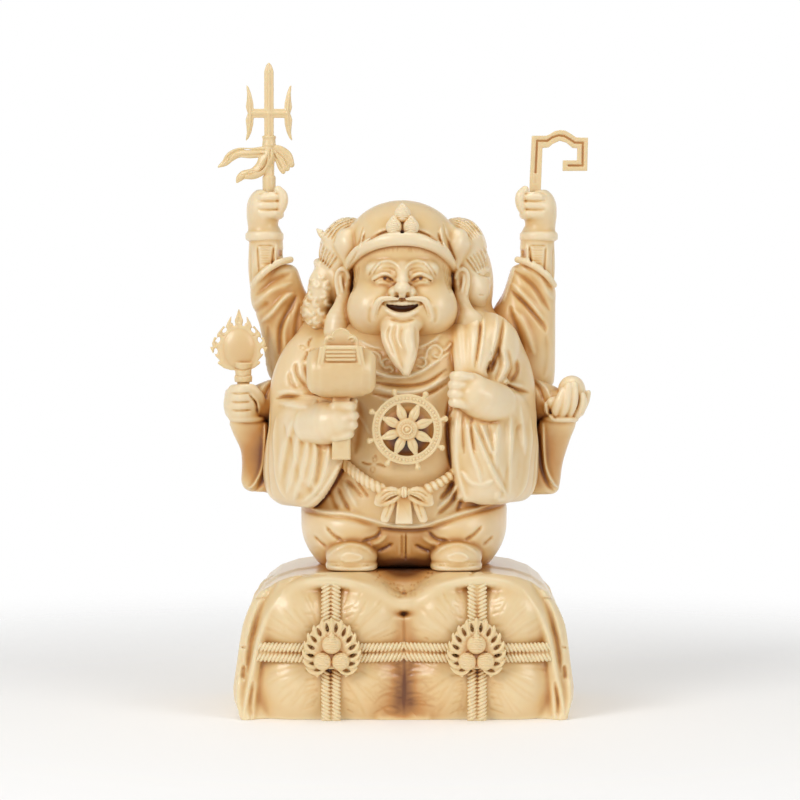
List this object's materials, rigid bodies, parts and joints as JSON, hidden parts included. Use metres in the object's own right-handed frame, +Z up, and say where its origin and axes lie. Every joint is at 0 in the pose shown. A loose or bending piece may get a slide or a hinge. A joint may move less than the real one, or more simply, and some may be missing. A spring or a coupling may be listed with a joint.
{
  "type": "daikoku figure",
  "caption": "Laughing lucky god with three faces and six arms, holding mallet, sack, wheel, trident, key and jewels, standing on two rice bales.",
  "frame": {"origin": "middle of the base's flat underside", "axes": "+Z up from the bales to the hat, +X to the viewer's right, the front face looks along -Y"},
  "size_m": [0.1512, 0.101, 0.2589],
  "materials": {
    "cast_cream": "cream resin cast to look like boxwood, brown wash in the recesses, satin wax",
    "cast_pale": "the same resin a little paler on the small castings, satin wax"
  },
  "bodies": {
    "root": {"base": "cast_cream", "bale_crest_left": "cast_pale", "bale_crest_right": "cast_pale", "figure": "cast_cream", "hat_jewels": "cast_pale", "mallet": "cast_pale", "wheel": "cast_pale", "trident_arm": "cast_cream", "key_arm": "cast_cream", "flame_jewel_arm": "cast_cream", "round_jewel_arm": "cast_cream", "trident": "cast_pale", "key": "cast_pale", "flame_jewel": "cast_pale"}
  },
  "joints": []
}
